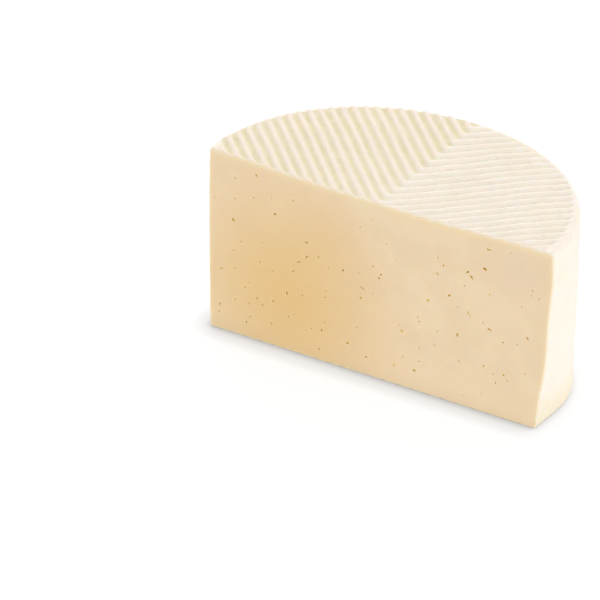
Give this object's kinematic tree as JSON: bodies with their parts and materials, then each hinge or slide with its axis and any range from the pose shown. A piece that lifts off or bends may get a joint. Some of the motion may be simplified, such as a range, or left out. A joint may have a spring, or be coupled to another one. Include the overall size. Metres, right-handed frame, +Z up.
{
  "type": "half wheel of young mixed milk cheese",
  "caption": "Half wheel of soft pale cheese with a herringbone press pattern on its flat faces, a smooth pale side and small eyes in the cut face.",
  "frame": {"origin": "middle of the box of the half wheel, at the height it rests on", "axes": "+X along the cut, to the right when the cut face is looked at; +Y from the cut face into the cheese; +Z up out of the patterned top"},
  "size_m": [0.198, 0.0972, 0.101],
  "materials": {
    "cheese_paste": "matte with a faint moist sheen, ivory rind and cream paste"
  },
  "bodies": {
    "root": {"cheese": "cheese_paste"}
  },
  "joints": []
}
